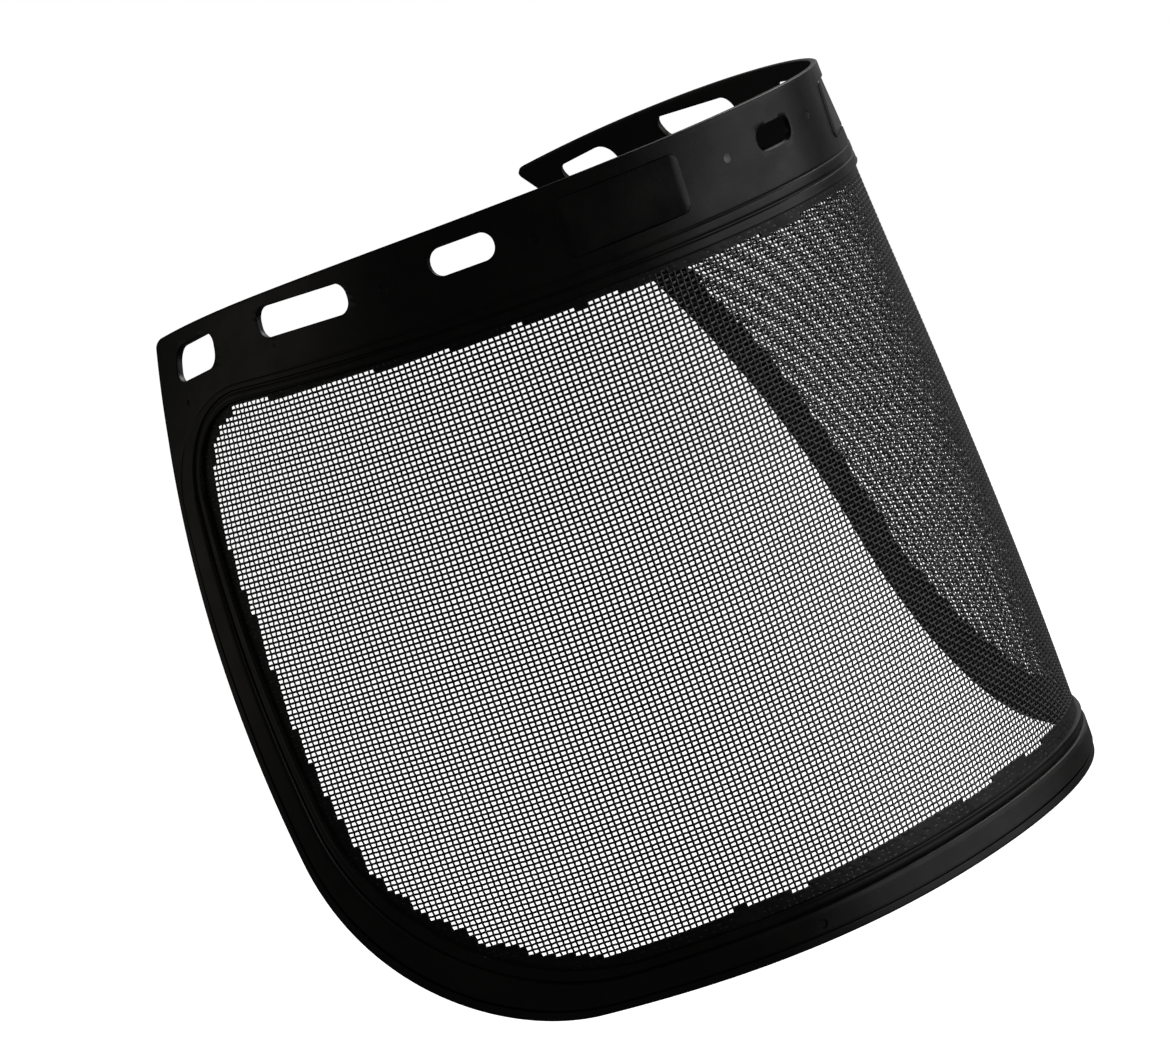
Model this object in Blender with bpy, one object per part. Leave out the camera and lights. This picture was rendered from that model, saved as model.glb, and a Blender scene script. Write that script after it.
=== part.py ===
"""Replacement wire-mesh visor of a face shield: a bent moulded surround round a woven wire cloth.

X runs across the wearer's face, +Y runs back towards the wearer and +Z is up.
Both pieces are laid out flat as (s, h, t): arc from the centre line, depth below
the top edge and height outward, and are then bent onto the wrapped face surface.
"""

import math

import bpy
import numpy as np

# wrapped face surface
HALF_ARC = 0.2054  # from the centre line to the end of an arm, along the top band
HEIGHT = 0.2031  # from the top edge to the bottom edge on the centre line
WRAP_TOP = 1.929  # turn of the surface from the centre to an arm's end, at the top
WRAP_BOTTOM = 1.437  # the same turn at the bottom, where the shield opens out
HARMONICS_TOP = (0.465, 0.121, 0.188)  # how the turn is shared along the arc
HARMONICS_BOTTOM = (0.422, -0.125, -0.408)
OPENING_RATE = 1.48  # how early the bottom shape takes over on the way down
LEAN_BACK = 0.0121  # the bottom stands this far behind the top
BOW_BACK = 0.0156  # hollow of the centre line between top and bottom
BACK_LEVEL = -0.0012  # the band's back face lies this far inside the face surface
ARC_STEPS = 240

# outline of the flat pattern
SIDE_TAPER = 0.0236
SIDE_TAPER_LATE = 0.0058
END_DROP = 0.0071  # fall of the top edge at the arm ends
HEM_LIFT = 0.0089  # rise of the bottom edge towards the corners
TOP_CORNER = 0.0025
BOTTOM_CORNER = (0.053, 0.062)

# opening for the mesh
OPENING_TOP = 0.0280
OPENING_DIP = 0.0045  # extra depth of the band at the centre
GROOVE_DIP = 0.0019
LAND_DIP = 0.0032
SIDE_RIM = 0.014
BOTTOM_RIM = 0.0155
OPENING_TOP_CORNER = (0.017, 0.020)
OPENING_BOTTOM_CORNER = (0.060, 0.062)

# cross-section of the surround, heights above the band's back face
PLATE = 0.0018
BEAD = 0.0022
GROOVE_FLOOR = 0.0012
MAIN_ZONE = 0.0026
LAND = 0.0022
BACK_PAD = -0.0006

# woven wire cloth
CLOTH = 0.0010
CLOTH_MIDDLE = 0.0008
FIT_GAP = 0.0003
CLOTH_MARGIN = 0.0040  # width of cloth held inside the groove

# samples along one half of a loop
TOP_STEPS = 20
TOP_CORNER_STEPS = 6
SIDE_STEPS = 8
BOTTOM_CORNER_STEPS = 10
BOTTOM_STEPS = 18

# slots for the studs of the browguard: name, arc, depth, length, height, corner radius, tilt
SLOTS = (
    ("centre", 0.0, 0.0102, 0.0137, 0.0064, 0.0028, 0.0),
    ("inner", 0.0898, 0.0087, 0.0178, 0.0071, 0.0034, 0.0),
    ("long", 0.1390, 0.0092, 0.0314, 0.0079, 0.0034, 0.0),
    ("end", 0.1843, 0.0131, 0.0194, 0.0088, 0.0036, 0.12),
)


def clear_scene():
    for item in list(bpy.data.objects):
        bpy.data.objects.remove(item, do_unlink=True)


def plan_curve(wrap, harmonics):
    """Plan of one arm, as X and Y at even steps of arc, a little past its end."""
    t = np.linspace(0.0, 1.08, ARC_STEPS)
    turn = t.copy()
    for k, amount in enumerate(harmonics, start=1):
        turn = turn + amount * np.sin(k * math.pi * t) / (k * math.pi)
    turn = wrap * turn
    step = (t[1] - t[0]) * HALF_ARC
    mean_cos = (np.cos(turn[1:]) + np.cos(turn[:-1])) / 2
    mean_sin = (np.sin(turn[1:]) + np.sin(turn[:-1])) / 2
    x = np.concatenate([[0.0], np.cumsum(mean_cos * step)])
    y = np.concatenate([[0.0], np.cumsum(mean_sin * step)])
    return t, x, y


TOP_PLAN = plan_curve(WRAP_TOP, HARMONICS_TOP)
BOTTOM_PLAN = plan_curve(WRAP_BOTTOM, HARMONICS_BOTTOM)


def skin(s, h):
    """Face surface at (s, h)."""
    t = np.abs(s) / HALF_ARC
    depth = h / HEIGHT
    share = depth + OPENING_RATE * depth * (1 - depth)
    x = (1 - share) * np.interp(t, TOP_PLAN[0], TOP_PLAN[1])
    x = x + share * np.interp(t, BOTTOM_PLAN[0], BOTTOM_PLAN[1])
    y = (1 - share) * np.interp(t, TOP_PLAN[0], TOP_PLAN[2])
    y = y + share * np.interp(t, BOTTOM_PLAN[0], BOTTOM_PLAN[2])
    y = y + LEAN_BACK * depth + BOW_BACK * depth * (1 - depth)
    return np.stack([np.sign(s) * x, y, HEIGHT - h], axis=-1)


def bend(s, h, t):
    """Points of the bent part for flat coordinates."""
    s = np.asarray(s, float)
    h = np.asarray(h, float)
    t = np.asarray(t, float)
    probe = 0.0015
    along = skin(s + probe, h) - skin(s - probe, h)
    down = skin(s, h + probe) - skin(s, h - probe)
    normal = np.cross(down, along)
    normal /= np.linalg.norm(normal, axis=-1, keepdims=True)
    return skin(s, h) + normal * (BACK_LEVEL + t[..., None])


def side_line(h):
    depth = h / HEIGHT
    return HALF_ARC - SIDE_TAPER * depth - SIDE_TAPER_LATE * depth**2


def loop(inward, top, dip, top_corner, drop=0.0):
    """Half loop from the top centre round to the bottom centre.

    inward is 0 on the outer edge and 1 on the opening's edge.
    """
    side = inward * SIDE_RIM
    bottom = HEIGHT - inward * BOTTOM_RIM
    corner = [a + (b - a) * min(inward, 1.0) for a, b in zip(BOTTOM_CORNER, OPENING_BOTTOM_CORNER)]
    end = side_line(top + top_corner[1]) - side
    points = []
    for k in range(TOP_STEPS):
        points.append(((end - top_corner[0]) * k / TOP_STEPS, top))
    for k in range(TOP_CORNER_STEPS):
        angle = math.pi / 2 * k / TOP_CORNER_STEPS
        h = top + top_corner[1] * (1 - math.cos(angle))
        reach = side_line(h) - side_line(top + top_corner[1])
        points.append((end - top_corner[0] * (1 - math.sin(angle)) + reach * math.sin(angle), h))
    first = top + top_corner[1]
    last = bottom - corner[1]
    for k in range(SIDE_STEPS):
        h = first + (last - first) * k / SIDE_STEPS
        points.append((side_line(h) - side, h))
    for k in range(BOTTOM_CORNER_STEPS):
        angle = math.pi / 2 * k / BOTTOM_CORNER_STEPS
        h = last + corner[1] * math.sin(angle)
        points.append((side_line(h) - side - corner[0] * (1 - math.cos(angle)), h))
    stop = side_line(bottom) - side - corner[0]
    for k in range(BOTTOM_STEPS + 1):
        points.append((stop * (1 - k / BOTTOM_STEPS), bottom))
    out = []
    for s, h in points:
        share = s / HALF_ARC
        h += dip * math.cos(share * math.pi / 2) ** 2 * max(0.0, 1 - (h - top) / 0.02)
        h += drop * share**4 * max(0.0, 1 - (h - top) / 0.03)
        h -= HEM_LIFT * share**2 * (h / HEIGHT) ** 8
        out.append((s, h))
    return np.array(out)


def whole(half):
    """Closed loop from a half loop; the left side mirrors the right."""
    left = half[-2:0:-1].copy()
    left[:, 0] *= -1
    return np.concatenate([half, left])


def rim_share():
    """0 along the band's top line and 1 on the sides and bottom, for each loop sample."""
    half = [0.0] * TOP_STEPS
    for k in range(TOP_CORNER_STEPS):
        half.append(k / TOP_CORNER_STEPS)
    half += [1.0] * (SIDE_STEPS + BOTTOM_CORNER_STEPS + BOTTOM_STEPS + 1)
    return np.array(half + half[-2:0:-1])


def add_mesh(name, points, faces):
    """An object of flat triangles, as the bent faces with four or more corners are not planar."""
    triangles = []
    for face in faces:
        for k in range(1, len(face) - 1):
            triangles.append((face[0], face[k + 1], face[k]))
    data = bpy.data.meshes.new(name)
    data.from_pydata([tuple(p) for p in points], [], triangles)
    data.validate()
    data.update()
    item = bpy.data.objects.new(name, data)
    bpy.context.scene.collection.objects.link(item)
    return item


def material(name, colour, roughness, metallic=0.0):
    made = bpy.data.materials.new(name)
    made.use_nodes = True
    shader = made.node_tree.nodes["Principled BSDF"]
    shader.inputs["Base Color"].default_value = (*colour, 1.0)
    shader.inputs["Roughness"].default_value = roughness
    shader.inputs["Metallic"].default_value = metallic
    return made


def rim_loops():
    """The nested loops of the surround, from its outer edge to the mesh opening."""
    outer = loop(0.0, 0.0, 0.0, (TOP_CORNER, TOP_CORNER), END_DROP)
    bead = loop(0.15, 0.0212, GROOVE_DIP, (0.030, 0.028))
    floor = loop(0.18, 0.0216, GROOVE_DIP, (0.0295, 0.0275))
    ridge = loop(0.21, 0.0220, GROOVE_DIP, (0.029, 0.027))
    shoulder = loop(0.58, 0.0230, LAND_DIP, (0.0235, 0.0245))
    step = loop(0.62, 0.0235, LAND_DIP, (0.023, 0.024))
    inner = loop(1.0, OPENING_TOP, OPENING_DIP, OPENING_TOP_CORNER)
    return [whole(k) for k in (outer, bead, floor, ridge, shoulder, step, inner)]


def groove_loop(inner, outward, distance):
    """A loop moved from the opening's edge towards an outer one by a distance."""
    step = outward - inner
    length = np.linalg.norm(step, axis=1, keepdims=True)
    return inner + step / length * distance


def surround():
    outer, bead, floor, ridge, shoulder, step, inner = rim_loops()
    count = len(outer)
    share = rim_share()
    deep = groove_loop(inner, step, CLOTH_MARGIN + FIT_GAP)
    half_groove = CLOTH / 2 + FIT_GAP
    flat = np.ones(count)
    section = [
        (outer, PLATE + (BEAD - PLATE) * share),
        (bead, PLATE + (BEAD - PLATE) * share),
        (floor, GROOVE_FLOOR * flat),
        (ridge, LAND + (MAIN_ZONE - LAND) * share),
        (shoulder, LAND + (MAIN_ZONE - LAND) * share),
        (step, LAND * flat),
        (inner, LAND * flat),
        (inner, (CLOTH_MIDDLE + half_groove) * flat),
        (deep, (CLOTH_MIDDLE + half_groove) * flat),
        (deep, (CLOTH_MIDDLE - half_groove) * flat),
        (inner, (CLOTH_MIDDLE - half_groove) * flat),
        (inner, BACK_PAD * flat),
        (ridge, BACK_PAD * flat),
        (floor, 0.0 * flat),
        (outer, 0.0 * flat),
    ]
    points = np.concatenate([bend(l[:, 0], l[:, 1], t) for l, t in section])
    rows = len(section)
    faces = []
    for k in range(rows):
        below = (k + 1) % rows
        for j in range(count):
            nxt = (j + 1) % count
            quad = [k * count + j, k * count + nxt, below * count + nxt, below * count + j]
            faces.append(quad if j < count // 2 else quad[1:] + quad[:1])
    return add_mesh("surround", points, faces)


def slot_outline(arc, depth, length, height, radius, tilt):
    """Rounded outline; tilt is the slope of depth along the arc."""
    points = []
    corners = ((1, 1, 0), (-1, 1, 90), (-1, -1, 180), (1, -1, 270))
    for right, down, start in corners:
        for k in range(5):
            angle = math.radians(start + 90 * k / 4)
            across = right * (length / 2 - radius) + radius * math.cos(angle)
            fall = down * (height / 2 - radius) + radius * math.sin(angle)
            points.append((arc + across, depth + fall + tilt * across))
    return points


def slot_cutter(name, outline):
    count = len(outline)
    s, h = np.array(outline).T
    front = bend(s, h, np.full(count, 0.006))
    back = bend(s, h, np.full(count, -0.004))
    faces = [tuple(range(count)), tuple(reversed(range(count, 2 * count)))]
    for j in range(count):
        nxt = (j + 1) % count
        faces.append((j, count + j, count + nxt, nxt))
    cutter = add_mesh(name, np.concatenate([front, back]), faces)
    cutter.hide_render = True
    cutter.display_type = "WIRE"
    return cutter


def cut_slots(body):
    for name, arc, depth, length, height, radius, tilt in SLOTS:
        sides = (1,) if arc == 0.0 else (1, -1)
        for side in sides:
            outline = slot_outline(side * arc, depth, length, height, radius, side * tilt)
            cutter = slot_cutter(f"cutter_{name}_{side}", outline)
            cut = body.modifiers.new(name, "BOOLEAN")
            cut.operation = "DIFFERENCE"
            cut.solver = "EXACT"
            cut.object = cutter


def wire_cloth():
    """The cloth as one thin sheet, its margin inside the surround's groove."""
    loops = rim_loops()
    inner = loops[6]
    margin = groove_loop(inner, loops[5], CLOTH_MARGIN)
    count = len(inner)
    half_count = TOP_STEPS + TOP_CORNER_STEPS // 2
    side_count = count // 2 - 2 * half_count
    right_top = half_count
    right_bottom = half_count + side_count
    left_bottom = right_bottom + 2 * half_count
    columns = 2 * half_count + 1
    top = [inner[(j - half_count) % count] for j in range(columns)]
    bottom = [inner[(left_bottom - j) % count] for j in range(columns)]
    right = [inner[right_top + j] for j in range(side_count + 1)]
    left = [inner[(left_bottom + side_count - j) % count] for j in range(side_count + 1)]
    grid = []
    for r in range(side_count + 1):
        v = r / side_count
        for c in range(columns):
            u = c / (columns - 1)
            edge = (1 - v) * top[c] + v * bottom[c] + (1 - u) * left[r] + u * right[r]
            corner = (1 - u) * (1 - v) * top[0] + u * (1 - v) * top[-1]
            corner = corner + (1 - u) * v * bottom[0] + u * v * bottom[-1]
            grid.append(edge - corner)
    grid = np.array(grid)
    around = []
    around += [(0, c) for c in range(columns)]
    around += [(r, columns - 1) for r in range(1, side_count + 1)]
    around += [(side_count, c) for c in range(columns - 2, -1, -1)]
    around += [(r, 0) for r in range(side_count - 1, 0, -1)]
    edge_ids = [r * columns + c for r, c in around]
    margin = np.roll(margin, half_count, axis=0)
    flat = np.concatenate([grid, margin])
    size = len(flat)
    first = len(grid)
    faces = []
    for r in range(side_count):
        for c in range(columns - 1):
            a = r * columns + c
            quad = [a, a + 1, a + columns + 1, a + columns]
            faces.append(quad if c >= half_count else quad[1:] + quad[:1])
    for j in range(count):
        nxt = (j + 1) % count
        quad = [first + j, first + nxt, edge_ids[nxt], edge_ids[j]]
        right_half = half_count <= j < count // 2 + half_count
        faces.append(quad if right_half else quad[1:] + quad[:1])
    back = [[size + v for v in f[:1] + f[:0:-1]] for f in faces]
    rim = []
    for j in range(count):
        nxt = (j + 1) % count
        rim.append((first + nxt, first + j, size + first + j, size + first + nxt))
    front_points = bend(flat[:, 0], flat[:, 1], np.full(size, CLOTH_MIDDLE + CLOTH / 2))
    back_points = bend(flat[:, 0], flat[:, 1], np.full(size, CLOTH_MIDDLE - CLOTH / 2))
    points = np.concatenate([front_points, back_points])
    return add_mesh("wire_cloth", points, faces + back + rim)


def centre_depth(items):
    """Puts the middle of the part's depth on Y = 0."""
    ys = [v.co.y for item in items for v in item.data.vertices]
    middle = (min(ys) + max(ys)) / 2
    for item in bpy.data.objects:
        for v in item.data.vertices:
            v.co.y -= middle


def main():
    clear_scene()
    body = surround()
    cut_slots(body)
    cloth = wire_cloth()
    centre_depth([body, cloth])
    body.data.materials.append(material("black_moulding", (0.012, 0.012, 0.013), 0.38))
    cloth.data.materials.append(material("black_wire", (0.02, 0.02, 0.02), 0.35, 0.6))


main()
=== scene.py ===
"""Looks of the face shield's mesh visor: moulded surround, woven wires and the plastic run in between.

The pieces are laid out flat as (s, h, t): arc from the centre line, depth below the
top edge and height outward. They are then bent onto the same wrapped face surface
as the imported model. X runs across the wearer's face, +Y back towards the wearer.
"""

import math

import bmesh
import bpy
import numpy as np
from mathutils import Euler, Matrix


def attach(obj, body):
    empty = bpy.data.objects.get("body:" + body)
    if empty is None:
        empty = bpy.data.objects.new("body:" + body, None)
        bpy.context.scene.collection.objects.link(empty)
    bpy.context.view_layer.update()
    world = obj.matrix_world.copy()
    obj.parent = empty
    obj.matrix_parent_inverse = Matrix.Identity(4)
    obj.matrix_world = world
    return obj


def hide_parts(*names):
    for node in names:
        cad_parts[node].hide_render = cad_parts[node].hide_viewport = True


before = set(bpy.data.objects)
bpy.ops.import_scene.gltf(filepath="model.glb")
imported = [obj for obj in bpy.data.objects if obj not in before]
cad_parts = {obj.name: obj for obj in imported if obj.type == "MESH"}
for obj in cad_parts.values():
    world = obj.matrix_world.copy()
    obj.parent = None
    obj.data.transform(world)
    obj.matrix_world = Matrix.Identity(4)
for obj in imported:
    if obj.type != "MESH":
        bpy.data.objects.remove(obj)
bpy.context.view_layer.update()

MM = 0.001
SEED = 41

# wrapped face surface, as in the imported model, in metres
HALF_ARC = 0.2054
HEIGHT = 0.2031
WRAP_TOP = 1.929
WRAP_BOTTOM = 1.437
HARMONICS_TOP = (0.465, 0.121, 0.188)
HARMONICS_BOTTOM = (0.422, -0.125, -0.408)
OPENING_RATE = 1.48
LEAN_BACK = 0.0121
BOW_BACK = 0.0156
BACK_LEVEL = -0.0012  # the band's back face lies this far inside the face surface
DEPTH_SHIFT = 0.0802  # the frame has the middle of the part's depth on Y = 0
ARC_STEPS = 240
ARC_REACH = 1.08  # the plans run on this far, as a share of the half arc
NORMAL_PROBE = 0.0015

# outline of the flat pattern
SIDE_TAPER = 0.0236
SIDE_TAPER_LATE = 0.0058
END_DROP = 0.0071  # fall of the top edge at the arm ends
END_DROP_FADE = 0.03
DIP_FADE = 0.02
HEM_LIFT = 0.0089  # rise of the bottom edge towards the corners
HEM_LIFT_POWER = 8
SIDE_RIM = 0.014
BOTTOM_RIM = 0.0155

# how the loops change with their depth in the band: depth, dip, corner across, corner down
BAND_DEPTHS = (0.0, 0.0212, 0.0220, 0.0230, 0.0235, 0.0280)
BAND_DIPS = (0.0, 0.0019, 0.0019, 0.0032, 0.0032, 0.0045)
CORNER_ACROSS = (0.0025, 0.0300, 0.0290, 0.0235, 0.0230, 0.0170)
CORNER_DOWN = (0.0025, 0.0280, 0.0270, 0.0245, 0.0240, 0.0200)
HEM_CORNER_OUTER = (0.053, 0.062)
HEM_CORNER_INNER = (0.060, 0.062)

# samples along one half of a loop
TOP_STEPS = 190
TOP_CORNER_STEPS = 26
SIDE_STEPS = 84
HEM_CORNER_STEPS = 62
HEM_STEPS = 120

# levels of the moulding, in millimetres above the band's back face
# (a pair is for the sides and hem, then for the band)
EDGE_LEVEL = (2.2, 1.8)
MAIN_LEVEL = (2.6, 1.95)
LAND_LEVEL = (2.2, 1.95)
OUTER_GROOVE = (0.80, 0.16)  # depth below the bead
INNER_GROOVE = (0.62, 0.45)  # depth below the rim and the land
LIP_RISE = 0.14
LIP_LEVEL = 1.65
PAD_LEVEL = -0.6
BEAD_STEPS = 10
LAND_END = (11.15, 25.75)  # the land's inner end: inside the side edge, and down in the band

# slots for the studs of the browguard: arc, depth, length, height, corner radius, tilt
SLOTS = (
    (0.0, 0.0102, 0.0137, 0.0064, 0.0028, 0.0),
    (0.0898, 0.0087, 0.0178, 0.0071, 0.0034, 0.0),
    (0.1390, 0.0092, 0.0314, 0.0079, 0.0034, 0.0),
    (0.1843, 0.0131, 0.0194, 0.0088, 0.0036, 0.12),
)
OUTLINE_CORNER_STEPS = 8

# how a slot widens through the band, from back to front: level and growth, in millimetres
SLOT_FLARE = (
    (-0.6, 0.6),
    (0.0, 0.14),
    (0.08, 0.04),
    (0.2, 0.0),
    (1.6, 0.0),
    (1.72, 0.04),
    (1.8, 0.14),
    (2.7, 0.9),
)

# blank raised panel on each side of the band: arc, depth, length, height and corner radius
PANEL = (0.0475, 0.0118, 0.0330, 0.0150, 0.0022)
PANEL_RISE = 0.30
# its rings from back to front: growth and level in millimetres, and share of the rise
PANEL_RINGS = ((0.25, -0.5, 0.0), (0.20, 0.02, 0.0), (0.05, 0.0, 0.75), (-0.15, 0.0, 1.0))

# marks of the mould's ejector pins: arc, depth and radius, then level round it and sunk in millimetres
# this mark's pale grey colour is a painted highlight on the pin mark's dimple
HIGHLIGHT_PAINTED_MARKS = ((-0.0172, 0.0108, 0.00125, 1.8, 0.10),)
DULL_MARKS = (
    (0.0167, 0.0098, 0.00110, 1.8, 0.08),
    (-0.0711, 0.0113, 0.00125, 1.8, 0.25),
    (0.0711, 0.0113, 0.00125, 1.8, 0.25),
    (-0.1126, 0.0104, 0.00130, 1.8, 0.12),
    (0.1126, 0.0104, 0.00130, 1.8, 0.12),
    (-0.1897, 0.0235, 0.00060, 1.8, 0.15),
    (-0.1503, 0.0154, 0.00050, 1.8, 0.12),
    (-0.0629, 0.1973, 0.00120, 2.6, 0.45),
)

MARK_CORNER_STEPS = 6

# woven cloth
UPRIGHT_PITCH = 0.00168
CROSS_PITCH = 0.00131
WIRE_RADIUS = 0.000300
WIRE_FLATNESS = 0.55  # half thickness as a share of the half width, as the cloth is rolled flat
UPRIGHT_CRIMP = 0.80  # rise of a crown, as a share of the wire radius
CROSS_CRIMP = 1.0
CLOTH_LEVEL = 0.0008
CROWN_SHARE = 0.22  # half length of a crown, as a share of the pitch
WIRE_SIDES = 6
WEAVE_SIDE = 0.008  # the grid of wires starts this far inside the side edge
WEAVE_TOP = 0.0225
WEAVE_BOTTOM = 0.006
WEAVE_WANDER = 0.00011
WANDER_OF_WIRE = 0.35  # share of the wander that shifts a whole wire
WANDER_OF_WAVE = 0.8  # share of the wander in each slow wave across the cloth
WAVE_SIZES = (0.021, 0.047, 0.090)
WIRES_IN_LAND = 0.0019
GROUPS = 4

# plastic run between the wires along the land
RUN_SIDE = 0.0146
RUN_TOP = 0.0266
RUN_TOP_DIP = 0.0054
RUN_HALF_THICKNESS = 0.00029
RUN_UNEVEN = 0.00003
RUN_IN_LAND = 0.6  # share of WIRES_IN_LAND that the plastic reaches under the land
RUN_ROUGHNESS = 0.0010
RUN_NOISE = ((0.016, 0.5), (0.006, 0.4))  # size and share of each smooth noise
RUN_SPECKLE = 0.22
RUN_CENTRE = 0.110  # depth of the point that the plastic runs towards
RUN_LENGTHEN = 1.9
UPPER_SIDE = (0.055, 0.068)  # stretch of depth where the plastic stops short, past UPPER_SIDE_ARC
UPPER_SIDE_ARC = 0.150
UPPER_SIDE_LESS = 0.0014
HEM_CORNER_ARC = (0.080, 0.120)
HEM_CORNER_TOP = 0.140
HEM_CORNER_LESS = 0.0017

# soft boxes: place, target, size, power in watts, colour
WHITE = (1.0, 1.0, 1.0)
LIGHTS = {
    "right_box": ((0.62, -1.15, 0.16), (0.0, 0.0, 0.14), (1.7, 1.0), 4.8, WHITE),
    "back_box": ((1.30, 0.55, 0.40), (0.0, 0.0, 0.12), (1.2, 1.4), 1.4, WHITE),
    "overhead_box": ((0.85, -0.05, 1.05), (0.0, 0.0, 0.1), (0.8, 0.8), 7.0, WHITE),
    "left_fill": ((-0.90, 0.95, 0.35), (0.0, 0.0, 0.1), (1.0, 1.0), 0.5, (1.0, 0.93, 0.84)),
}
WORLD_SEEN = 1.0
WORLD_REFLECTED = 0.03
FLOOR_LEVEL = -0.12
FLOOR_REACH = 6.0

# camera
CAMERA_PLACE = (-0.94458, -0.90079, 0.29675)
CAMERA_TURN = (81.198, 21.128, -48.500)
CAMERA_LENS = 153.85


def plan_curve(wrap, harmonics):
    """Plan of one arm, as the share of arc, X and Y at even steps, a little past its end."""
    t = np.linspace(0.0, ARC_REACH, ARC_STEPS)
    turn = t.copy()
    for k, amount in enumerate(harmonics, start=1):
        turn = turn + amount * np.sin(k * math.pi * t) / (k * math.pi)
    turn = wrap * turn
    step = (t[1] - t[0]) * HALF_ARC
    mean_cos = (np.cos(turn[1:]) + np.cos(turn[:-1])) / 2
    mean_sin = (np.sin(turn[1:]) + np.sin(turn[:-1])) / 2
    x = np.concatenate([[0.0], np.cumsum(mean_cos * step)])
    y = np.concatenate([[0.0], np.cumsum(mean_sin * step)])
    fine = np.linspace(0.0, ARC_REACH, 8 * ARC_STEPS)
    return fine, smooth_interp(fine, t, x), smooth_interp(fine, t, y)


def smooth_interp(fine, t, values):
    """Cubic Hermite through even samples, so that dense pieces show no facets."""
    slope = np.gradient(values, t)
    k = np.clip(np.searchsorted(t, fine) - 1, 0, len(t) - 2)
    width = t[k + 1] - t[k]
    u = (fine - t[k]) / width
    first = (1 + 2 * u) * (1 - u) ** 2 * values[k] + u**2 * (3 - 2 * u) * values[k + 1]
    return first + width * (u * (1 - u) ** 2 * slope[k] - u**2 * (1 - u) * slope[k + 1])


TOP_PLAN = plan_curve(WRAP_TOP, HARMONICS_TOP)
BOTTOM_PLAN = plan_curve(WRAP_BOTTOM, HARMONICS_BOTTOM)


def skin(s, h):
    """Face surface at (s, h), in the row frame."""
    t = np.abs(s) / HALF_ARC
    depth = h / HEIGHT
    share = depth + OPENING_RATE * depth * (1 - depth)
    x = (1 - share) * np.interp(t, TOP_PLAN[0], TOP_PLAN[1])
    x = x + share * np.interp(t, BOTTOM_PLAN[0], BOTTOM_PLAN[1])
    y = (1 - share) * np.interp(t, TOP_PLAN[0], TOP_PLAN[2])
    y = y + share * np.interp(t, BOTTOM_PLAN[0], BOTTOM_PLAN[2])
    y = y + LEAN_BACK * depth + BOW_BACK * depth * (1 - depth) - DEPTH_SHIFT
    return np.stack([np.sign(s) * x, y, HEIGHT - h], axis=-1)


def bend(flat):
    """Points of the bent part for rows of flat coordinates."""
    s, h, t = np.asarray(flat, float).T
    along = skin(s + NORMAL_PROBE, h) - skin(s - NORMAL_PROBE, h)
    down = skin(s, h + NORMAL_PROBE) - skin(s, h - NORMAL_PROBE)
    normal = np.cross(down, along)
    normal /= np.linalg.norm(normal, axis=-1, keepdims=True)
    return skin(s, h) + normal * (BACK_LEVEL + t[:, None])


def side_line(h):
    """Arc of the side edge at a depth below the top edge."""
    depth = h / HEIGHT
    return HALF_ARC - SIDE_TAPER * depth - SIDE_TAPER_LATE * depth**2


def half_loop(side, top, dip=None):
    """Half loop a distance inside the side edge, and at a depth in the band."""
    bottom = HEIGHT - side * BOTTOM_RIM / SIDE_RIM
    share = min(side / SIDE_RIM, 1.0)
    hem = [a + (b - a) * share for a, b in zip(HEM_CORNER_OUTER, HEM_CORNER_INNER)]
    across = np.interp(top, BAND_DEPTHS, CORNER_ACROSS)
    drop_down = np.interp(top, BAND_DEPTHS, CORNER_DOWN)
    if dip is None:
        dip = np.interp(top, BAND_DEPTHS, BAND_DIPS)
    drop = END_DROP * max(0.0, 1 - top / BAND_DEPTHS[1])
    end = side_line(top + drop_down) - side
    s = [(end - across) * k / TOP_STEPS for k in range(TOP_STEPS)]
    h = [top] * TOP_STEPS
    for k in range(TOP_CORNER_STEPS):
        angle = math.pi / 2 * k / TOP_CORNER_STEPS
        level = top + drop_down * (1 - math.cos(angle))
        reach = side_line(level) - side_line(top + drop_down)
        s.append(end - across * (1 - math.sin(angle)) + reach * math.sin(angle))
        h.append(level)
    first = top + drop_down
    last = bottom - hem[1]
    for k in range(SIDE_STEPS):
        level = first + (last - first) * k / SIDE_STEPS
        s.append(side_line(level) - side)
        h.append(level)
    for k in range(HEM_CORNER_STEPS):
        angle = math.pi / 2 * k / HEM_CORNER_STEPS
        level = last + hem[1] * math.sin(angle)
        s.append(side_line(level) - side - hem[0] * (1 - math.cos(angle)))
        h.append(level)
    stop = side_line(bottom) - side - hem[0]
    s += [stop * (1 - k / HEM_STEPS) for k in range(HEM_STEPS + 1)]
    h += [bottom] * (HEM_STEPS + 1)
    s = np.array(s)
    h = np.array(h)
    share = s / HALF_ARC
    h = h + dip * np.cos(share * math.pi / 2) ** 2 * np.clip(1 - (h - top) / DIP_FADE, 0, None)
    h = h + drop * share**4 * np.clip(1 - (h - top) / END_DROP_FADE, 0, None)
    h = h - HEM_LIFT * share**2 * (h / HEIGHT) ** HEM_LIFT_POWER
    return np.stack([s, h], axis=1)


def whole(half):
    """Closed loop from a half loop; the left side mirrors the right."""
    left = half[-2:0:-1].copy()
    left[:, 0] *= -1
    return np.concatenate([half, left])


def rim_share():
    """0 along the band and 1 on the sides and hem, eased round the top corners."""
    k = np.arange(TOP_CORNER_STEPS) / TOP_CORNER_STEPS
    corner = k * k * (3 - 2 * k)
    rest = np.ones(SIDE_STEPS + HEM_CORNER_STEPS + HEM_STEPS + 1)
    half = np.concatenate([np.zeros(TOP_STEPS), corner, rest])
    return np.concatenate([half, half[-2:0:-1]])


def new_object(name, points, faces):
    """A mesh object in the scene, from lists of points and faces."""
    data = bpy.data.meshes.new(name)
    data.from_pydata([tuple(p) for p in points], [], faces)
    item = bpy.data.objects.new(name, data)
    bpy.context.scene.collection.objects.link(item)
    return item


def bead_steps():
    """Even steps across the outer bead, inside the side edge and down in the band."""
    return [(0.6 + 0.13 * k, 1.2 + 2.1 * k) for k in range(BEAD_STEPS)]


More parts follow.
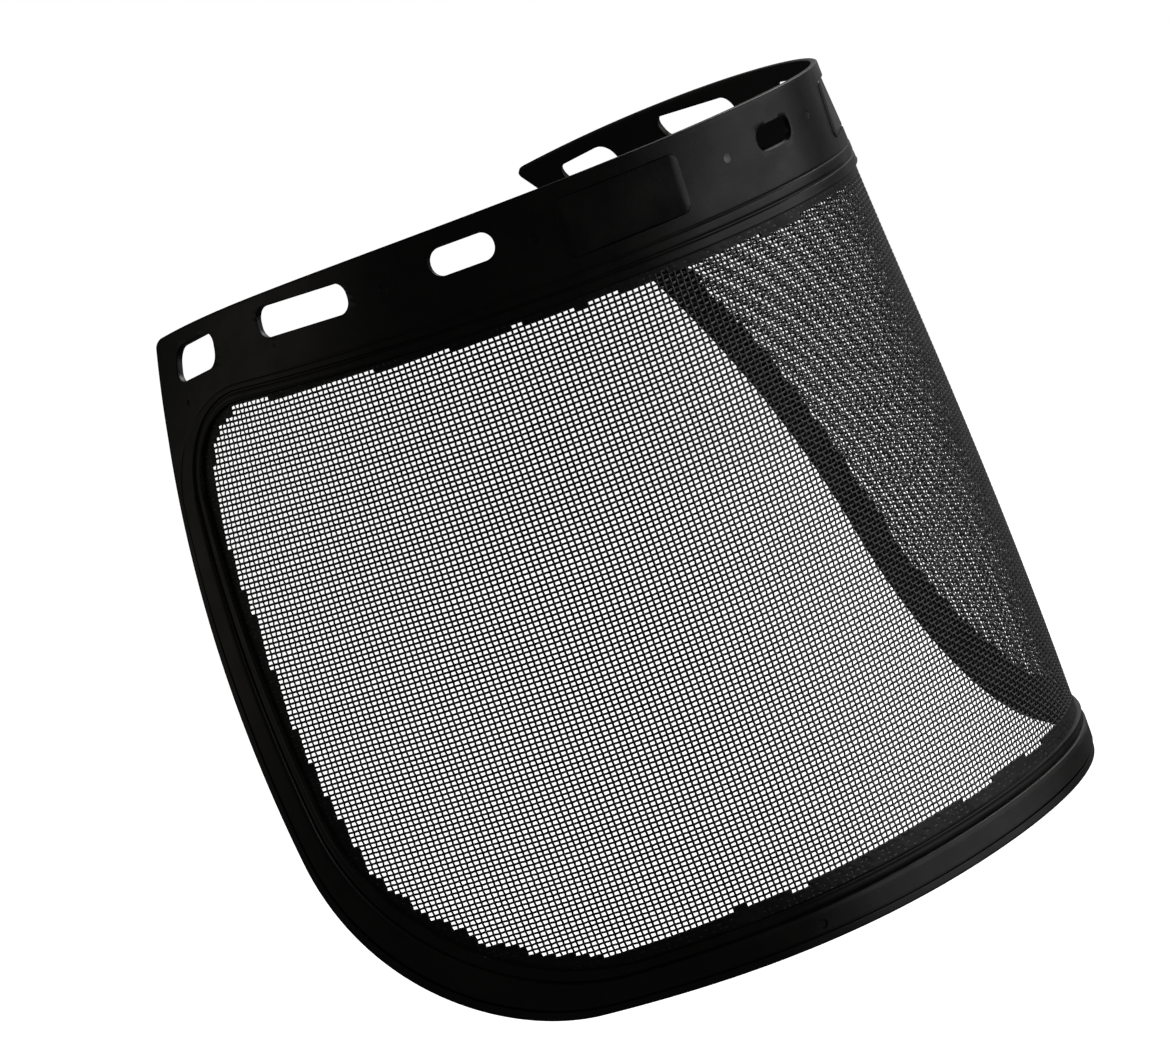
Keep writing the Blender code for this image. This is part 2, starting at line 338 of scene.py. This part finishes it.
def from_band(pair, share):
    """A level that goes from its value on the band to its value on the sides and hem."""
    side, band = pair
    return band + (side - band) * share


def section_rows():
    """The surround's section, from its front outer edge round to the back.

    Each row has a distance inside the side edge, a depth in the band and the levels
    round the loop, in millimetres.
    """
    share = rim_share()
    edge = from_band(EDGE_LEVEL, share)
    main = from_band(MAIN_LEVEL, share)
    land = from_band(LAND_LEVEL, share)
    sunk = from_band(INNER_GROOVE, share)
    side_groove, band_groove = OUTER_GROOVE
    fade = side_groove * np.clip(2 * share - 1, 0, 1) + band_groove * np.clip(1 - 2 * share, 0, 1)
    flat = np.ones_like(share)
    # rounded outer edge and bead
    rows = [(0.0, 0.0, edge - 0.45), (0.05, 0.05, edge - 0.24), (0.18, 0.18, edge - 0.07), (0.42, 0.42, edge)]
    rows += [(side, top, edge) for side, top in bead_steps()]
    # groove inside the bead
    rows += [(1.90, 20.85, edge), (1.98, 20.98, edge - 0.08 * fade), (2.12, 21.2, edge - fade)]
    rows += [(2.48, 21.48, edge - fade), (2.60, 21.66, main - 0.14), (2.72, 21.85, main)]
    # main face of the rim
    rows += [(4.0, 22.15, main), (5.4, 22.4, main), (6.8, 22.65, main)]
    # groove beside the land
    rows += [(7.9, 22.9, main), (8.08, 23.0, main - 0.14), (8.22, 23.15, main - sunk)]
    rows += [(8.58, 23.5, land - sunk), (8.74, 23.66, land - 0.12)]
    # land, with the raised lip along its inner edge
    rows += [(8.92, 23.8, land), (9.8, 24.6, land), (10.4, 25.15, land)]
    rows += [(10.7, 25.4, land + LIP_RISE), (10.9, 25.58, land + 0.4 * LIP_RISE)]
    rows += [(11.05, 25.7, LIP_LEVEL * flat), (*LAND_END, 0.4 * flat)]
    # pad behind the rim, and the band's flat back
    rows += [(11.1, 25.7, -0.4 * flat), (10.8, 25.5, PAD_LEVEL * flat)]
    rows += [(8.5, 23.5, PAD_LEVEL * flat), (5.5, 22.4, PAD_LEVEL * flat), (2.7, 21.8, PAD_LEVEL * flat)]
    rows += [(2.4, 21.5, -0.2 * flat), (2.2, 21.3, 0.0 * flat)]
    rows += [(side, top, 0.0 * flat) for side, top in reversed(bead_steps())]
    rows += [(0.42, 0.42, 0.0 * flat), (0.12, 0.12, 0.08 * flat), (0.0, 0.0, 0.34 * flat)]
    return rows


def rounded_outline(shape, grow, steps=OUTLINE_CORNER_STEPS, tilt=0.0):
    """Rounded rectangle on the flat pattern, larger all round by grow and leaning by tilt."""
    arc, depth, length, height, radius = shape
    points = []
    corners = ((1, 1, 0), (-1, 1, 90), (-1, -1, 180), (1, -1, 270))
    for right, down, start in corners:
        for k in range(steps + 1):
            angle = math.radians(start + 90 * k / steps)
            across = right * (length / 2 - radius) + (radius + grow) * math.cos(angle)
            fall = down * (height / 2 - radius) + (radius + grow) * math.sin(angle)
            points.append((arc + across, depth + fall + tilt * across))
    return points


def stack(outlines):
    """Closed solid through outlines of equal count, each with its level, from the back forward."""
    count = len(outlines[0][0])
    points = [(s, h, level) for outline, level in outlines for s, h in outline]
    faces = [tuple(reversed(range(count)))]
    last = (len(outlines) - 1) * count
    faces.append(tuple(range(last, last + count)))
    for r in range(len(outlines) - 1):
        for j in range(count):
            nxt = (j + 1) % count
            a = r * count
            faces.append((a + j, a + nxt, a + count + nxt, a + count + j))
    return points, faces


def joined(name, solids):
    """One object from several solids that stand apart."""
    points = []
    faces = []
    for more_points, more_faces in solids:
        start = len(points)
        points += more_points
        faces += [tuple(v + start for v in f) for f in more_faces]
    return new_object(name, points, faces)


def apply_boolean(body, tool, operation):
    """Adds the tool to the body or cuts it out, and removes the tool."""
    cut = body.modifiers.new("cut", "BOOLEAN")
    cut.operation = operation
    cut.solver = "EXACT"
    cut.material_mode = "TRANSFER"
    cut.object = tool
    with bpy.context.temp_override(object=body, active_object=body):
        bpy.ops.object.modifier_apply(modifier=cut.name)
    bpy.data.objects.remove(tool, do_unlink=True)


def flat_surround():
    """The surround before bending: its section swept round the flat pattern."""
    section = section_rows()
    loops = [whole(half_loop(side * MM, top * MM)) for side, top, _ in section]
    rings = [np.column_stack([loop, level * MM]) for loop, (_, _, level) in zip(loops, section)]
    count = len(loops[0])
    faces = []
    for k in range(len(loops)):
        here = k * count
        below = (k + 1) % len(loops) * count
        for j in range(count):
            nxt = (j + 1) % count
            faces.append((here + j, below + j, below + nxt))
            faces.append((here + j, below + nxt, here + nxt))
    return new_object("surround_moulding", np.concatenate(rings), faces)


def slot_solids():
    """Cutters for the slots, mirrored about the centre line."""
    solids = []
    for arc, depth, length, height, radius, tilt in SLOTS:
        sides = (1,) if arc == 0.0 else (1, -1)
        for side in sides:
            shape = (side * arc, depth, length, height, radius)
            rings = []
            for level, grow in SLOT_FLARE:
                outline = rounded_outline(shape, grow * MM, tilt=side * tilt)
                rings.append((outline, level * MM))
            solids.append(stack(rings))
    return solids


def panel_solids():
    """The blank panels, with a rounded edge, sunk a little way into the band."""
    solids = []
    arc, *rest = PANEL
    for side in (-1, 1):
        rings = []
        for grow, level, rises in PANEL_RINGS:
            outline = rounded_outline((side * arc, *rest), grow * MM)
            rings.append((outline, (EDGE_LEVEL[1] + level + PANEL_RISE * rises) * MM))
        solids.append(stack(rings))
    return solids


def mark_solids(marks):
    """Cutters for shallow round marks, each a little wider towards the front."""
    solids = []
    for arc, depth, radius, base, sunk in marks:
        shape = (arc, depth, 2 * radius, 2 * radius, radius * 0.999)
        rings = []
        for grow, level in ((-0.10, base - sunk), (0.0, base - 0.3 * sunk), (0.25, base + 0.5)):
            rings.append((rounded_outline(shape, grow * MM, MARK_CORNER_STEPS), level * MM))
        solids.append(stack(rings))
    return solids


def bend_object(item):
    """Bends a flat object and leaves it as clean triangles that face outward."""
    data = item.data
    co = np.empty(len(data.vertices) * 3)
    data.vertices.foreach_get("co", co)
    data.vertices.foreach_set("co", bend(co.reshape(-1, 3)).ravel())
    work = bmesh.new()
    work.from_mesh(data)
    bmesh.ops.triangulate(work, faces=work.faces[:])
    bmesh.ops.dissolve_degenerate(work, dist=1e-6, edges=work.edges[:])
    bmesh.ops.recalc_face_normals(work, faces=work.faces[:])
    work.to_mesh(data)
    work.free()
    data.update()


def shade(item, sharp_degrees):
    """Smooth shading, with edges past an angle kept sharp."""
    item.data.polygons.foreach_set("use_smooth", np.ones(len(item.data.polygons), dtype=bool))
    item.data.set_sharp_from_angle(angle=math.radians(sharp_degrees))
    item.data.update()


def node(tree, kind, place):
    """A new shader node at a place in the node editor."""
    made = tree.nodes.new(kind)
    made.location = place
    return made


def two_colours(tree, factor, low, high, place):
    """Colour that goes from low to high with a factor."""
    ramp = node(tree, "ShaderNodeValToRGB", place)
    ramp.color_ramp.elements[0].position = 0.32
    ramp.color_ramp.elements[1].position = 0.70
    ramp.color_ramp.elements[0].color = (*low, 1)
    ramp.color_ramp.elements[1].color = (*high, 1)
    tree.links.new(factor, ramp.inputs["Fac"])
    return ramp.outputs["Color"]


def range_of(tree, factor, low, high, place):
    """Value that goes from low to high over the middle of a noise's range."""
    mapped = node(tree, "ShaderNodeMapRange", place)
    mapped.inputs["From Min"].default_value = 0.3
    mapped.inputs["From Max"].default_value = 0.7
    mapped.inputs["To Min"].default_value = low
    mapped.inputs["To Max"].default_value = high
    tree.links.new(factor, mapped.inputs["Value"])
    return mapped.outputs["Result"]


def grainy(name, dark, pale, rough, patch, grain, depth, metallic=0.0):
    """A coloured surface with large soft patches and a fine moulded or coated grain."""
    made = bpy.data.materials.new(name)
    made.use_nodes = True
    tree = made.node_tree
    shader = tree.nodes["Principled BSDF"]
    shader.inputs["Metallic"].default_value = metallic
    where = node(tree, "ShaderNodeTexCoord", (-1100, 0)).outputs["Object"]
    patches = node(tree, "ShaderNodeTexNoise", (-850, 200))
    patches.inputs["Scale"].default_value = patch
    patches.inputs["Detail"].default_value = 7.0
    patches.inputs["Roughness"].default_value = 0.62
    fine = node(tree, "ShaderNodeTexNoise", (-850, -150))
    fine.inputs["Scale"].default_value = grain
    fine.inputs["Detail"].default_value = 3.0
    fine.inputs["Roughness"].default_value = 0.6
    tree.links.new(where, patches.inputs["Vector"])
    tree.links.new(where, fine.inputs["Vector"])
    colour = two_colours(tree, patches.outputs["Fac"], dark, pale, (-500, 250))
    tree.links.new(colour, shader.inputs["Base Color"])
    roughness = range_of(tree, patches.outputs["Fac"], rough[0], rough[1], (-500, 0))
    tree.links.new(roughness, shader.inputs["Roughness"])
    bump = node(tree, "ShaderNodeBump", (-300, -250))
    bump.inputs["Strength"].default_value = 0.6
    bump.inputs["Distance"].default_value = depth
    tree.links.new(fine.outputs["Fac"], bump.inputs["Height"])
    tree.links.new(bump.outputs["Normal"], shader.inputs["Normal"])
    return made


def make_surround(plastic, mark):
    """The moulding: panels and slots are worked in the flat, and then it is bent."""
    body = flat_surround()
    body.data.materials.append(plastic)
    body.data.materials.append(mark)
    for name, solids, operation, material in (
        ("panels", panel_solids(), "UNION", plastic),
        ("slots", slot_solids(), "DIFFERENCE", plastic),
        ("dull_marks", mark_solids(DULL_MARKS), "DIFFERENCE", plastic),
        # this pin mark's dimple is coloured pale grey as a painted highlight
        ("highlight_painted_marks", mark_solids(HIGHLIGHT_PAINTED_MARKS), "DIFFERENCE", mark),
    ):
        tool = joined(name, solids)
        tool.data.materials.append(material)
        apply_boolean(body, tool, operation)
    bend_object(body)
    shade(body, 40)
    return body


def weave_grid():
    """Crossing points of the cloth in flat coordinates, with the slight wander of real wires."""
    rng = np.random.default_rng(SEED)
    half = int(0.5 + (HALF_ARC - WEAVE_SIDE) / UPRIGHT_PITCH)
    s = np.arange(-half, half + 1) * UPRIGHT_PITCH
    h = np.arange(WEAVE_TOP, HEIGHT - WEAVE_BOTTOM, CROSS_PITCH)
    s = s + rng.normal(0.0, WANDER_OF_WIRE * WEAVE_WANDER, len(s))
    h = h + rng.normal(0.0, WANDER_OF_WIRE * WEAVE_WANDER, len(h))
    grid_s, grid_h = np.meshgrid(s, h, indexing="ij")
    for scale in WAVE_SIZES:
        phase = rng.uniform(0, 2 * math.pi, 4)
        wave_s = np.sin(grid_s / scale * 2 + phase[0]) * np.sin(grid_h / scale * 3 + phase[1])
        wave_h = np.sin(grid_s / scale * 3 + phase[2]) * np.sin(grid_h / scale * 2 + phase[3])
        grid_s = grid_s + WEAVE_WANDER * WANDER_OF_WAVE * wave_s
        grid_h = grid_h + WEAVE_WANDER * WANDER_OF_WAVE * wave_h
    return grid_s, grid_h


def inside(half, s, h):
    """Whether flat points lie inside the loop of a half loop."""
    widest = int(np.argmax(half[:, 0]))
    upper = half[: widest + 1]
    lower = half[widest:][::-1]
    reach = np.abs(s)
    top = np.interp(reach, upper[:, 0], upper[:, 1])
    bottom = np.interp(reach, lower[:, 0], lower[:, 1])
    return (reach < half[widest, 0]) & (h > top) & (h < bottom)


def tube_rings(line, rise, across):
    """Rings of a wire along flat points; across is True for a wire that runs along s."""
    steps = np.gradient(line, axis=0)
    run = np.linalg.norm(steps, axis=1)
    slope = np.arctan2(np.gradient(rise), run)
    angle = np.arange(WIRE_SIDES) / WIRE_SIDES * 2 * math.pi
    wide = WIRE_RADIUS * np.cos(angle)[None, :]
    high = WIRE_RADIUS * WIRE_FLATNESS * np.sin(angle)[None, :]
    lean = -high * np.sin(slope)[:, None]
    lift = rise[:, None] + high * np.cos(slope)[:, None]
    if across:
        return np.stack([line[:, :1] + lean, line[:, 1:] + wide, lift], axis=-1)
    return np.stack([line[:, :1] + wide, line[:, 1:] + lean, lift], axis=-1)


def crimped(points, signs, crimp):
    """Line and height of a wire that is level over each crossing and dives between two."""
    gap = np.diff(points, axis=0) * CROWN_SHARE
    before = points[1:] - gap
    after = points[:-1] + gap
    line = np.empty((2 * len(points), 2))
    line[0] = points[0]
    line[1::2][:-1] = after
    line[2::2] = before
    line[-1] = points[-1]
    rise = CLOTH_LEVEL + WIRE_RADIUS * WIRE_FLATNESS * crimp * np.repeat(signs, 2)
    return line, rise


def runs(mask):
    """First and last index of each unbroken stretch of True."""
    edges = np.flatnonzero(np.diff(np.concatenate([[False], mask, [False]]).astype(int)))
    return [(a, b) for a, b in zip(edges[::2], edges[1::2]) if b - a >= 2]


def along_wire(values, number, across):
    """The values of a grid along one wire."""
    return values[:, number] if across else values[number]


def wires(name, grid, mask, numbers, across, coating):
    """One group of wires as a single piece."""
    crimp = CROSS_CRIMP if across else UPRIGHT_CRIMP
    first_side = -1 if across else 1
    rings = []
    faces = []
    start = 0
    for k in numbers:
        for first, stop in runs(along_wire(mask, k, across)):
            picks = np.arange(first, stop)
            points = np.stack([along_wire(values, k, across)[picks] for values in grid], axis=1)
            over = first_side * (1.0 - 2.0 * ((picks + k) % 2))
            line, rise = crimped(points, over, crimp)
            ring = tube_rings(line, rise, across)
            if across:
                ring = ring[:, ::-1]
            count = len(ring)
            rings.append(ring.reshape(-1, 3))
            base = start + np.arange(count - 1)[:, None] * WIRE_SIDES
            a = base + np.arange(WIRE_SIDES)[None, :]
            b = base + (np.arange(WIRE_SIDES)[None, :] + 1) % WIRE_SIDES
            faces.append(np.stack([a, b, b + WIRE_SIDES, a + WIRE_SIDES], axis=-1).reshape(-1, 4))
            start += count * WIRE_SIDES
    return tube_object(name, np.concatenate(rings), np.concatenate(faces), coating)


def tube_object(name, flat, quads, coating):
    """Bent tubes from flat points and quads, with their ends closed."""
    data = bpy.data.meshes.new(name)
    points = bend(flat)
    data.vertices.add(len(points))
    data.vertices.foreach_set("co", points.astype(np.float32).ravel())
    data.loops.add(quads.size)
    data.loops.foreach_set("vertex_index", quads.astype(np.int32).ravel())
    data.polygons.add(len(quads))
    data.polygons.foreach_set("loop_start", (np.arange(len(quads)) * 4).astype(np.int32))
    data.polygons.foreach_set("use_smooth", np.ones(len(quads), dtype=bool))
    data.update(calc_edges=True)
    data.validate()
    data.materials.append(coating)
    item = bpy.data.objects.new(name, data)
    bpy.context.scene.collection.objects.link(item)
    face_outward(item)
    return item


def face_outward(item):
    """Closes the open ends of wires, if there are any, and turns all faces outward."""
    work = bmesh.new()
    work.from_mesh(item.data)
    open_edges = [e for e in work.edges if e.is_boundary]
    if open_edges:
        bmesh.ops.holes_fill(work, edges=open_edges, sides=WIRE_SIDES)
    bmesh.ops.recalc_face_normals(work, faces=work.faces[:])
    work.to_mesh(item.data)
    work.free()


def soft_noise(rng, s, h, size):
    """Smooth noise between about -1 and 1 over flat coordinates."""
    total = np.zeros_like(s)
    for _ in range(5):
        turn = rng.uniform(0, 2 * math.pi, 2)
        step = rng.uniform(0.7, 1.6) * 2 * math.pi / size
        total += np.sin(step * (s * math.cos(turn[0]) + h * math.sin(turn[0])) + turn[1])
    return total / 2.6


def tidy_cells(filled):
    """Drops filled cells that stand alone and fills open ones that are shut in."""
    ring = np.pad(filled, 1, mode="edge").astype(int)
    beside = ring[:-2, 1:-1] + ring[2:, 1:-1] + ring[1:-1, :-2] + ring[1:-1, 2:]
    return (filled & (beside >= 2)) | (~filled & (beside >= 3))


def land_loop(held):
    """Half loop under the land, a distance short of its inner end."""
    side, top = LAND_END
    return half_loop(side * MM - held, top * MM - held)


def run_spread(rng, s, h):
    """How much further than its mean line the plastic has run at each cell."""
    spread = sum(soft_noise(rng, s, h, size) * share for size, share in RUN_NOISE)
    spread = RUN_ROUGHNESS * (spread + rng.normal(0.0, RUN_SPECKLE, s.shape))
    first, last = HEM_CORNER_ARC
    hem_corner = np.clip((np.abs(s) - first) / (last - first), 0, 1) * (h > HEM_CORNER_TOP)
    upper_side = (h < UPPER_SIDE[1]) & (np.abs(s) > UPPER_SIDE_ARC) & (h > UPPER_SIDE[0])
    return spread - HEM_CORNER_LESS * hem_corner - UPPER_SIDE_LESS * upper_side


def filled_cells(rng, grid):
    """Which cells of the weave the plastic fills."""
    s, h = [(values[1:, 1:] + values[:-1, :-1]) / 2 for values in grid]
    spread = run_spread(rng, s, h)
    away = (h - RUN_CENTRE) * RUN_LENGTHEN
    reach = np.hypot(s, away)
    edge = half_loop(RUN_SIDE, RUN_TOP, RUN_TOP_DIP)
    within = inside(land_loop(WIRES_IN_LAND * RUN_IN_LAND), s, h)
    filled = within & ~inside(edge, s + spread * s / reach, h + spread * away / reach)
    for _ in range(2):
        filled = within & tidy_cells(filled)
    return filled


def cell_faces(filled, shape):
    """Front, back and outer side faces of the filled cells, over two layers of points."""
    index = np.arange(shape[0] * shape[1]).reshape(shape)
    size = index.size
    padded = np.pad(filled, 1)
    faces = []
    for i, j in zip(*np.nonzero(filled)):
        a, b, c, d = index[i, j], index[i + 1, j], index[i + 1, j + 1], index[i, j + 1]
        faces.append((a, b, c, d))
        faces.append((size + d, size + c, size + b, size + a))
        around = (
            (padded[i + 1, j], a, b),
            (padded[i + 2, j + 1], b, c),
            (padded[i + 1, j + 2], c, d),
            (padded[i, j + 1], d, a),
        )
        for covered, p, q in around:
            if not covered:
                faces.append((q, p, size + p, size + q))
    return np.array(faces)


def run_plastic(grid, plastic):
    """Plastic that has run between the wires next to the land, cell by cell."""
    rng = np.random.default_rng(SEED + 1)
    filled = filled_cells(rng, grid)
    s, h = grid
    layers = []
    for level in (CLOTH_LEVEL + RUN_HALF_THICKNESS, CLOTH_LEVEL - RUN_HALF_THICKNESS):
        uneven = level + rng.normal(0.0, RUN_UNEVEN, s.shape)
        layers.append(np.stack([s, h, uneven], -1).reshape(-1, 3))
    points = np.concatenate(layers)
    faces = cell_faces(filled, s.shape)
    used, numbers = np.unique(faces.ravel(), return_inverse=True)
    quads = [tuple(quad) for quad in numbers.reshape(-1, 4).tolist()]
    item = new_object("run_in_plastic", bend(points[used]), quads)
    item.data.materials.append(plastic)
    face_outward(item)
    return item


def make_cloth(coating, run_material):
    """All wires, in groups, and the plastic between the outer ones."""
    grid = weave_grid()
    mask = inside(land_loop(WIRES_IN_LAND), *grid)
    made = []
    for name, across in (("upright_wires", False), ("cross_wires", True)):
        count = mask.shape[1 if across else 0]
        used = [k for k in range(count) if along_wire(mask, k, across).any()]
        for g, numbers in enumerate(np.array_split(used, GROUPS), start=1):
            made.append(wires(f"{name}_{g}", grid, mask, numbers, across, coating))
    return made, run_plastic(grid, run_material)


def area_light(name, place, target, size, power, colour):
    """A soft box that the camera doesn't see, turned to its target."""
    data = bpy.data.lights.new(name, "AREA")
    data.shape = "RECTANGLE"
    data.size, data.size_y = size
    data.energy = power
    data.color = colour
    item = bpy.data.objects.new(name, data)
    item.location = place
    x, y, z = np.array(target) - np.array(place)
    item.rotation_euler = Euler((math.atan2(np.hypot(x, y), -z), 0, math.atan2(-x, y)))
    bpy.context.scene.collection.objects.link(item)
    item.visible_camera = False


def white_background(tree, strength):
    """A white background of a given strength."""
    made = tree.nodes.new("ShaderNodeBackground")
    made.inputs["Color"].default_value = (*WHITE, 1)
    made.inputs["Strength"].default_value = strength
    return made.outputs["Background"]


def studio():
    """White surroundings as the camera sees them, darker ones in reflections, and soft boxes."""
    world = bpy.data.worlds.new("studio")
    bpy.context.scene.world = world
    world.use_nodes = True
    tree = world.node_tree
    tree.nodes.clear()
    path = tree.nodes.new("ShaderNodeLightPath")
    mix = tree.nodes.new("ShaderNodeMixShader")
    out = tree.nodes.new("ShaderNodeOutputWorld")
    tree.links.new(path.outputs["Is Camera Ray"], mix.inputs["Fac"])
    tree.links.new(white_background(tree, WORLD_REFLECTED), mix.inputs[1])
    tree.links.new(white_background(tree, WORLD_SEEN), mix.inputs[2])
    tree.links.new(mix.outputs["Shader"], out.inputs["Surface"])
    for name, values in LIGHTS.items():
        area_light(name, *values)


def pale_floor():
    """A plain floor that stays white and casts nothing into the gloss."""
    sides = ((-1, -1), (1, -1), (1, 1), (-1, 1))
    corners = [(x * FLOOR_REACH, y * FLOOR_REACH, FLOOR_LEVEL) for x, y in sides]
    item = new_object("floor", corners, [(0, 1, 2, 3)])
    made = bpy.data.materials.new("pale_floor")
    made.use_nodes = True
    shader = made.node_tree.nodes["Principled BSDF"]
    shader.inputs["Base Color"].default_value = (0.85, 0.85, 0.85, 1)
    shader.inputs["Roughness"].default_value = 0.9
    shader.inputs["Emission Color"].default_value = (*WHITE, 1)
    shader.inputs["Emission Strength"].default_value = 1.0
    item.data.materials.append(made)
    item.visible_glossy = False
    item.visible_diffuse = False
    item.visible_shadow = False
    return item


def camera():
    """The camera, in front and to the wearer's right."""
    data = bpy.data.cameras.new("camera")
    data.sensor_width = 36
    data.lens = CAMERA_LENS
    data.clip_start = 0.01
    data.clip_end = 50
    item = bpy.data.objects.new("camera", data)
    item.location = CAMERA_PLACE
    item.rotation_euler = Euler([math.radians(a) for a in CAMERA_TURN])
    bpy.context.scene.collection.objects.link(item)
    bpy.context.scene.camera = item


def materials():
    """Moulded black, the pin mark painted pale grey as a highlight, the plastic run into the weave and the
    wire's coating.
    """
    plastic = grainy(
        "moulded_black",
        dark=(0.005, 0.0047, 0.0044),
        pale=(0.013, 0.0115, 0.0098),
        rough=(0.31, 0.50),
        patch=85,
        grain=1300,
        depth=0.00005,
    )
    # the pin mark's pale grey is a painted highlight, not the colour of the moulded plastic
    mark = grainy(
        "pin_mark_painted_highlight",
        dark=(0.22, 0.22, 0.22),
        pale=(0.27, 0.27, 0.27),
        rough=(0.30, 0.40),
        patch=60,
        grain=1800,
        depth=0.00002,
    )
    ran = grainy(
        "run_plastic",
        dark=(0.006, 0.006, 0.006),
        pale=(0.011, 0.010, 0.009),
        rough=(0.40, 0.60),
        patch=120,
        grain=900,
        depth=0.00008,
    )
    coating = grainy(
        "coated_wire",
        dark=(0.10, 0.10, 0.103),
        pale=(0.15, 0.15, 0.154),
        rough=(0.32, 0.50),
        patch=90,
        grain=2600,
        depth=0.00002,
        metallic=1.0,
    )
    return plastic, mark, ran, coating


def main():
    """Makes every piece, ties it to the frame and sets up the studio and camera."""
    plastic, mark, ran, coating = materials()
    body = make_surround(plastic, mark)
    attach(body, "root")
    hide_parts("surround")
    cloth, run = make_cloth(coating, ran)
    for item in cloth:
        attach(item, "root")
        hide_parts("wire_cloth")
    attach(run, "root")
    pale_floor()
    studio()
    camera()
    bpy.context.scene.view_settings.view_transform = "Standard"


main()
